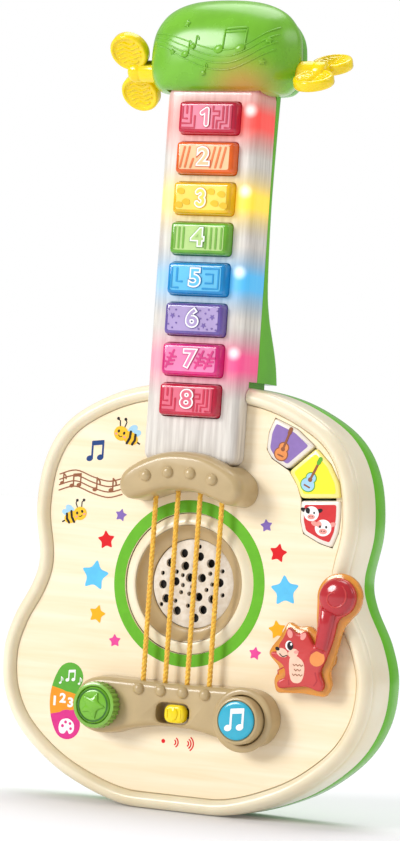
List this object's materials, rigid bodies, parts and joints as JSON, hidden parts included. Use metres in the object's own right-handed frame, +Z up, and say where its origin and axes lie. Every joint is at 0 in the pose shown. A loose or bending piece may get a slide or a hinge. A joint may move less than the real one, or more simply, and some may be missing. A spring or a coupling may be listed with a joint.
{
  "type": "toy electric guitar",
  "caption": "Upright toddler toy guitar with a light-up keyed neck, cord strings over a speaker hole, and a bridge with a turn knob, slider, push button and side lever.",
  "frame": {"origin": "centre of the guitar's bounding box in plan, at the foot of the body", "axes": "+Z up along the neck, front face towards -Y, +X to the right seen from the front"},
  "size_m": [0.224, 0.0706, 0.445],
  "materials": {
    "cream_shell": "satin cream moulding",
    "face_print": "printed birch-look panel",
    "green_shell": "light green moulding",
    "head_green": "glossy leaf green",
    "tan_plastic": "satin tan moulding",
    "grille": "speckled off-white",
    "neck_white": "milky translucent white with a brushed look",
    "key_red": "translucent",
    "key_orange": "translucent",
    "key_yellow": "translucent",
    "key_green": "translucent",
    "key_blue": "translucent",
    "key_purple": "translucent",
    "key_pink": "translucent",
    "peg_yellow": "glossy",
    "string_cord": "braided cord",
    "melody_blue": "printed disc",
    "squirrel_red": "glossy red",
    "lever_amber": "translucent amber",
    "membrane": "matt",
    "board": "solder mask",
    "black_plastic": "matt",
    "tray_plastic": "matt",
    "steel": "plated",
    "battery_wrap": "plain sleeve",
    "lamp": "clear lens"
  },
  "bodies": {
    "root": {"front_shell": "cream_shell", "sound_ring": "cream_shell", "face_panel": "face_print", "back_shell": "green_shell", "neck_shell": "green_shell", "head_cover": "head_green", "string_nut": "tan_plastic", "bridge": "tan_plastic", "sound_cone": "tan_plastic", "speaker_grille": "grille", "fretboard": "neck_white", "string_1": "string_cord", "string_2": "string_cord", "string_3": "string_cord", "string_4": "string_cord", "key_membrane": "membrane", "neck_board": "board", "main_board": "board", "tone_board": "board", "speaker": "black_plastic", "mode_switch": "black_plastic", "volume_switch": "black_plastic", "melody_switch": "black_plastic", "battery_tray": "tray_plastic", "battery_contact_left": "steel", "battery_contact_right": "steel", "case_screw_1": "steel", "case_screw_2": "steel", "case_screw_3": "steel", "case_screw_4": "steel", "battery_1": "battery_wrap", "battery_2": "battery_wrap", "battery_3": "battery_wrap", "led_1": "lamp", "led_2": "lamp", "led_3": "lamp", "led_4": "lamp"},
    "key_1": {"key_1": "key_red"},
    "key_2": {"key_2": "key_orange"},
    "key_3": {"key_3": "key_yellow"},
    "key_4": {"key_4": "key_green"},
    "key_5": {"key_5": "key_blue"},
    "key_6": {"key_6": "key_purple"},
    "key_7": {"key_7": "key_pink"},
    "key_8": {"key_8": "key_red"},
    "tone_key_1": {"tone_key_1": "neck_white"},
    "tone_key_2": {"tone_key_2": "neck_white"},
    "tone_key_3": {"tone_key_3": "neck_white"},
    "melody_button": {"melody_button": "tan_plastic", "melody_disc": "melody_blue"},
    "mode_knob": {"mode_knob": "head_green", "mode_knob_cap": "head_green"},
    "volume_slider": {"volume_slider": "peg_yellow"},
    "whammy_lever": {"lever_plate": "lever_amber", "squirrel": "squirrel_red", "lever_pin": "lever_amber"},
    "peg_left": {"peg_left": "peg_yellow"},
    "peg_right": {"peg_right": "peg_yellow"},
    "battery_door": {"battery_door": "green_shell", "battery_door_screw": "steel"}
  },
  "joints": [
    {"name": "key_1_press", "type": "slide", "parent": "root", "child": "key_1", "axis": [0, 1, 0], "range_m": [0, 0.0015], "stiffness_N_per_m": 300},
    {"name": "key_2_press", "type": "slide", "parent": "root", "child": "key_2", "axis": [0, 1, 0], "range_m": [0, 0.0015], "stiffness_N_per_m": 300},
    {"name": "key_3_press", "type": "slide", "parent": "root", "child": "key_3", "axis": [0, 1, 0], "range_m": [0, 0.0015], "stiffness_N_per_m": 300},
    {"name": "key_4_press", "type": "slide", "parent": "root", "child": "key_4", "axis": [0, 1, 0], "range_m": [0, 0.0015], "stiffness_N_per_m": 300},
    {"name": "key_5_press", "type": "slide", "parent": "root", "child": "key_5", "axis": [0, 1, 0], "range_m": [0, 0.0015], "stiffness_N_per_m": 300},
    {"name": "key_6_press", "type": "slide", "parent": "root", "child": "key_6", "axis": [0, 1, 0], "range_m": [0, 0.0015], "stiffness_N_per_m": 300},
    {"name": "key_7_press", "type": "slide", "parent": "root", "child": "key_7", "axis": [0, 1, 0], "range_m": [0, 0.0015], "stiffness_N_per_m": 300},
    {"name": "key_8_press", "type": "slide", "parent": "root", "child": "key_8", "axis": [0, 1, 0], "range_m": [0, 0.0015], "stiffness_N_per_m": 300},
    {"name": "tone_key_1_press", "type": "slide", "parent": "root", "child": "tone_key_1", "axis": [0, 1, 0], "range_m": [0, 0.0015], "stiffness_N_per_m": 300},
    {"name": "tone_key_2_press", "type": "slide", "parent": "root", "child": "tone_key_2", "axis": [0, 1, 0], "range_m": [0, 0.0015], "stiffness_N_per_m": 300},
    {"name": "tone_key_3_press", "type": "slide", "parent": "root", "child": "tone_key_3", "axis": [0, 1, 0], "range_m": [0, 0.0015], "stiffness_N_per_m": 300},
    {"name": "melody_press", "type": "slide", "parent": "root", "child": "melody_button", "axis": [0, 1, 0], "range_m": [0, 0.0022], "stiffness_N_per_m": 300},
    {"name": "mode_turn", "type": "hinge", "parent": "root", "child": "mode_knob", "pos_m": [-0.043, -0.0227, 0.0549], "axis": [0, 1, 0], "range_deg": [-35, 35]},
    {"name": "volume_slide", "type": "slide", "parent": "root", "child": "volume_slider", "axis": [1, 0, 0], "range_m": [-0.0056, 0.0014]},
    {"name": "whammy_swing", "type": "hinge", "parent": "root", "child": "whammy_lever", "pos_m": [0.0853, -0.0187, 0.0908], "axis": [0, 1, 0], "range_deg": [-12, 12], "stiffness_Nm_per_rad": 0.3},
    {"name": "peg_left_turn", "type": "hinge", "parent": "root", "child": "peg_left", "pos_m": [-0.057, -0.0057, 0.406], "axis": [1, 0, 0], "continuous": true},
    {"name": "peg_right_turn", "type": "hinge", "parent": "root", "child": "peg_right", "pos_m": [0.057, -0.0057, 0.406], "axis": [1, 0, 0], "continuous": true},
    {"name": "battery_door_lift", "type": "slide", "parent": "root", "child": "battery_door", "axis": [0, 1, 0], "range_m": [0, 0.03]}
  ]
}
